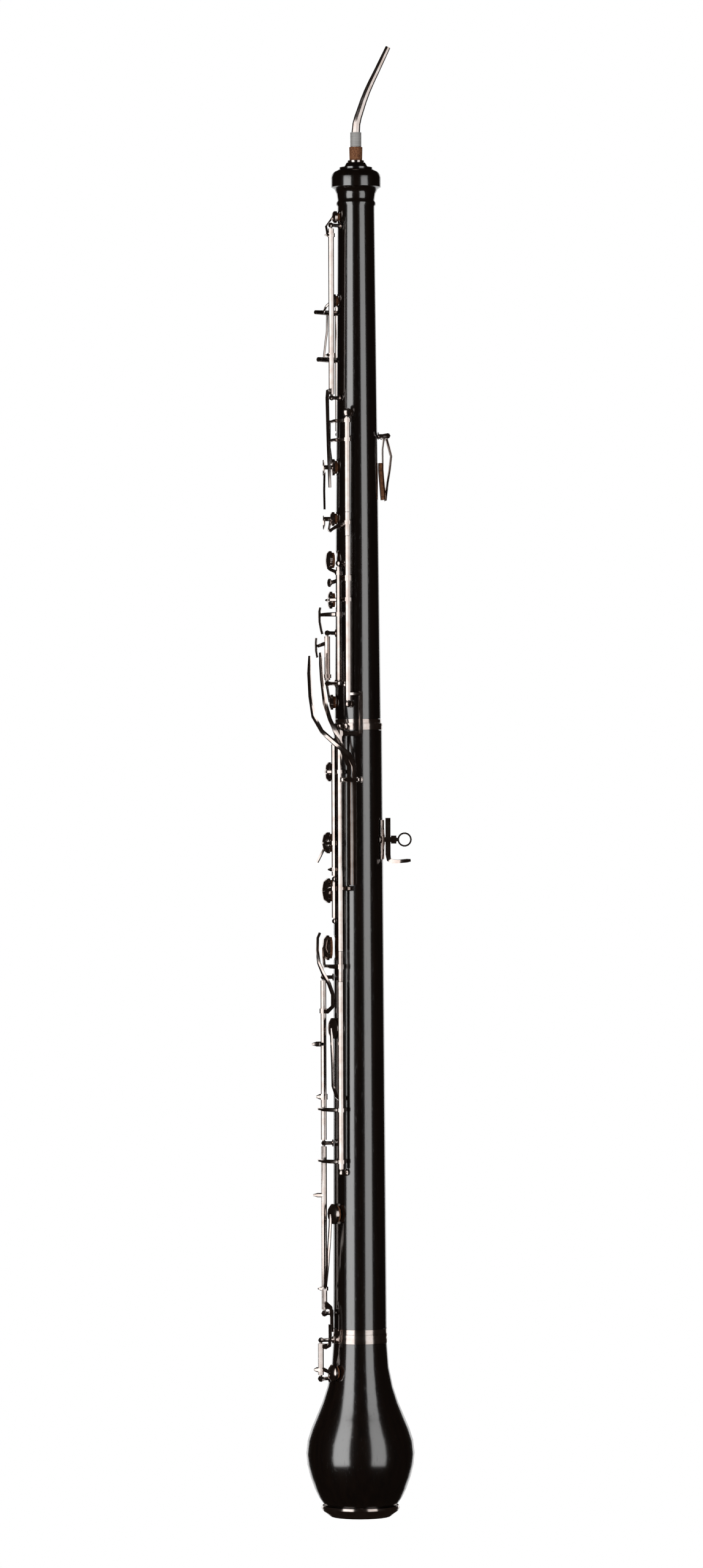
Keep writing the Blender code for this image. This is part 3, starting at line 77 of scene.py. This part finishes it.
class Shader:
    """A Principled material with helpers for its texture nodes."""

    def __init__(self, name, colour, roughness, metallic=0.0):
        self.material = bpy.data.materials.new(name)
        self.material.use_nodes = True
        self.nodes = self.material.node_tree.nodes
        self.links = self.material.node_tree.links
        self.base = self.nodes["Principled BSDF"]
        self.base.inputs["Base Color"].default_value = (*colour, 1.0)
        self.base.inputs["Roughness"].default_value = roughness
        self.base.inputs["Metallic"].default_value = metallic
        self.place = self.nodes.new("ShaderNodeTexCoord").outputs["Object"]

    def noise(self, scale, detail=3.0, stretch=(1.0, 1.0, 1.0)):
        mapping = self.nodes.new("ShaderNodeMapping")
        mapping.inputs["Scale"].default_value = stretch
        self.links.new(self.place, mapping.inputs["Vector"])
        texture = self.nodes.new("ShaderNodeTexNoise")
        texture.inputs["Scale"].default_value = scale
        texture.inputs["Detail"].default_value = detail
        self.links.new(mapping.outputs["Vector"], texture.inputs["Vector"])
        return texture.outputs["Fac"]

    def ramp(self, source, stops):
        ramp = self.nodes.new("ShaderNodeValToRGB")
        elements = ramp.color_ramp.elements
        while len(elements) < len(stops):
            elements.new(0.5)
        for element, (position, colour) in zip(elements, stops):
            element.position = position
            element.color = (*colour, 1.0)
        self.links.new(source, ramp.inputs["Fac"])
        return ramp.outputs["Color"]

    def spread(self, source, low, high):
        change = self.nodes.new("ShaderNodeMapRange")
        change.inputs["To Min"].default_value = low
        change.inputs["To Max"].default_value = high
        self.links.new(source, change.inputs["Value"])
        return change.outputs["Result"]

    def drive(self, source, socket):
        self.links.new(source, self.base.inputs[socket])

    def bump(self, height, strength, distance):
        bump = self.nodes.new("ShaderNodeBump")
        bump.inputs["Strength"].default_value = strength
        bump.inputs["Distance"].default_value = distance
        self.links.new(height, bump.inputs["Height"])
        self.links.new(bump.outputs["Normal"], self.base.inputs["Normal"])


def wood_look():
    look = Shader("grenadilla_look", (0.004, 0.003, 0.002), 0.2)
    look.base.inputs["IOR"].default_value = WOOD_IOR
    grain = look.noise(60.0, 5.0, (5.0, 5.0, 0.5))
    look.drive(look.ramp(grain, [(0.3, (0.002, 0.001, 0.001)), (0.7, (0.010, 0.005, 0.003))]),
               "Base Color")
    pores = look.noise(1500.0, 2.0, (1.0, 1.0, 0.1))
    pits = look.ramp(pores, [(0.3, (0.0, 0.0, 0.0)), (0.36, (1.0, 1.0, 1.0))])
    look.drive(look.spread(pits, 0.24, 0.15), "Roughness")
    look.bump(pits, 0.1, 0.00003)
    return look.material


def nickel_look():
    look = Shader("nickel_look", (0.58, 0.5, 0.46), 0.12, 1.0)
    haze = look.noise(220.0, 4.0)
    look.drive(look.ramp(haze, [(0.3, (0.5, 0.42, 0.38)), (0.7, (0.66, 0.6, 0.57))]), "Base Color")
    look.drive(look.spread(haze, 0.08, 0.2), "Roughness")
    return look.material


def cork_look():
    look = Shader("cork_look", (0.5, 0.22, 0.1), 0.85)
    lumps = look.noise(1100.0, 4.0)
    look.drive(look.ramp(lumps, [(0.3, (0.16, 0.06, 0.03)), (0.5, (0.42, 0.17, 0.075)),
                                 (0.75, (0.62, 0.3, 0.15))]), "Base Color")
    look.bump(lumps, 0.5, 0.0002)
    return look.material


def sleeve_look():
    look = Shader("sleeve_look", (0.82, 0.81, 0.78), 0.45)
    winding = look.noise(500.0, 2.0, (0.2, 0.2, 3.0))
    look.drive(look.ramp(winding, [(0.3, (0.70, 0.69, 0.66)), (0.7, (0.86, 0.85, 0.83))]),
               "Base Color")
    look.bump(winding, 0.4, 0.0001)
    return look.material


LOOKS = {"grenadilla": wood_look(), "nickel": nickel_look(), "cork": cork_look(),
         "white_sleeve": sleeve_look()}
RECORD = frame["record"]
SLOTS = {part["node"]: part["material_slot"] for part in RECORD["subparts"]}
BODIES = {node: body for body, nodes in RECORD["behaviour"]["bodies"].items() for node in nodes}


def skin(node):
    """A smooth-shaded copy of a CAD node that stands for it."""
    shape = bmesh.new()
    shape.from_mesh(frame["nodes"][node].data)
    bmesh.ops.remove_doubles(shape, verts=shape.verts, dist=WELD)
    mesh = bpy.data.meshes.new(node + "_skin")
    shape.to_mesh(mesh)
    shape.free()
    if "custom_normal" in mesh.attributes:
        mesh.attributes.remove(mesh.attributes["custom_normal"])
    mesh.shade_smooth()
    mesh.set_sharp_from_angle(angle=radians(SHARP_ANGLE))
    mesh.materials.clear()
    mesh.materials.append(LOOKS[SLOTS[node]])
    piece = bpy.data.objects.new(node + "_skin", mesh)
    bpy.context.scene.collection.objects.link(piece)
    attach(piece, BODIES[node])
    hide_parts(node)
    return piece


for name in sorted(SLOTS):
    skin(name)


# Lights and background

def strip_light(name, near, far, radiance):
    """An upright softbox that spans two angles round the object."""
    middle = radians((near + far) / 2)
    half = radians(abs(far - near) / 2)
    lamp = bpy.data.lights.new(name, 'AREA')
    lamp.shape = 'RECTANGLE'
    lamp.size = 2 * LIGHT_DISTANCE * tan(half)
    lamp.size_y = LIGHT_HEIGHT
    lamp.energy = radiance * pi * lamp.size * lamp.size_y
    holder = bpy.data.objects.new(name, lamp)
    place = Vector((sin(middle), -cos(middle), 0.0)) * LIGHT_DISTANCE
    holder.location = place + Vector((0.0, 0.0, LIGHT_CENTRE))
    holder.rotation_euler = place.to_track_quat('Z', 'Y').to_euler()
    bpy.context.scene.collection.objects.link(holder)


for softbox in SOFTBOXES:
    strip_light(*softbox)

world = bpy.data.worlds.new("studio")
bpy.context.scene.world = world
world.use_nodes = True
tree = world.node_tree
dim = tree.nodes["Background"]
dim.inputs["Color"].default_value = (*DIM, 1.0)
dim.inputs["Strength"].default_value = 1.0
white = tree.nodes.new("ShaderNodeBackground")
white.inputs["Color"].default_value = (*WHITE, 1.0)
white.inputs["Strength"].default_value = 1.0
path = tree.nodes.new("ShaderNodeLightPath")
choose = tree.nodes.new("ShaderNodeMixShader")
tree.links.new(path.outputs["Is Camera Ray"], choose.inputs["Fac"])
tree.links.new(dim.outputs["Background"], choose.inputs[1])
tree.links.new(white.outputs["Background"], choose.inputs[2])
tree.links.new(choose.outputs["Shader"], tree.nodes["World Output"].inputs["Surface"])

# Camera
lens = bpy.data.cameras.new("photo_camera")
lens.sensor_fit = 'VERTICAL'
lens.sensor_height = SENSOR * 1000
lens.lens = SENSOR * 1000 * CAMERA_DISTANCE / (IMAGE[1] * METRES_PER_PIXEL)
lens.clip_end = CLIP_END
camera = bpy.data.objects.new("photo_camera", lens)
bpy.context.scene.collection.objects.link(camera)
across = (IMAGE[0] / 2 - AXIS_COLUMN) * METRES_PER_PIXEL
height = (RIM_ROW - IMAGE[1] / 2) * METRES_PER_PIXEL
upright = Matrix.Rotation(pi / 2, 4, 'X') @ Matrix.Rotation(-atan(AXIS_LEAN), 4, 'Z')
camera.matrix_world = Matrix.Translation(Vector((across, -CAMERA_DISTANCE, height))) @ upright

scene = bpy.context.scene
scene.camera = camera
scene.render.engine = 'CYCLES'
scene.render.resolution_x = IMAGE[0]
scene.render.resolution_y = IMAGE[1]
scene.render.resolution_percentage = 100
scene.view_settings.view_transform = 'Standard'
scene.view_settings.look = 'None'
